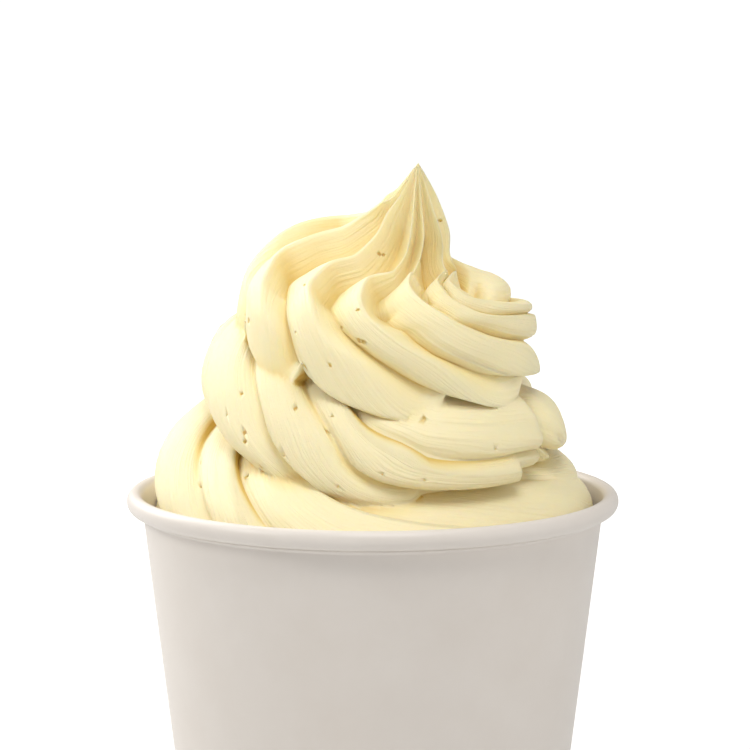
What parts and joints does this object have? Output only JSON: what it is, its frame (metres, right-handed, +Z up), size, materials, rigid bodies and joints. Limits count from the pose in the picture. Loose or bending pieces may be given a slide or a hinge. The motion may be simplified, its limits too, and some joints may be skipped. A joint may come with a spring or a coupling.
{
  "type": "soft serve cup",
  "caption": "Tall swirl of pale vanilla soft serve piped into a plain white tapered paper cup with a rolled rim.",
  "frame": {"origin": "centre of the cup's foot ring, on the surface it stands on", "axes": "+Z up through the swirl, -Y is the side the picture shows"},
  "size_m": [0.096, 0.096, 0.1391],
  "materials": {
    "paper": "smooth matt coated white paper",
    "soft_serve": "smooth moist frozen dairy, cream yellow"
  },
  "bodies": {
    "root": {"cup_wall": "paper", "cup_base": "paper", "soft_serve": "soft_serve"}
  },
  "joints": []
}
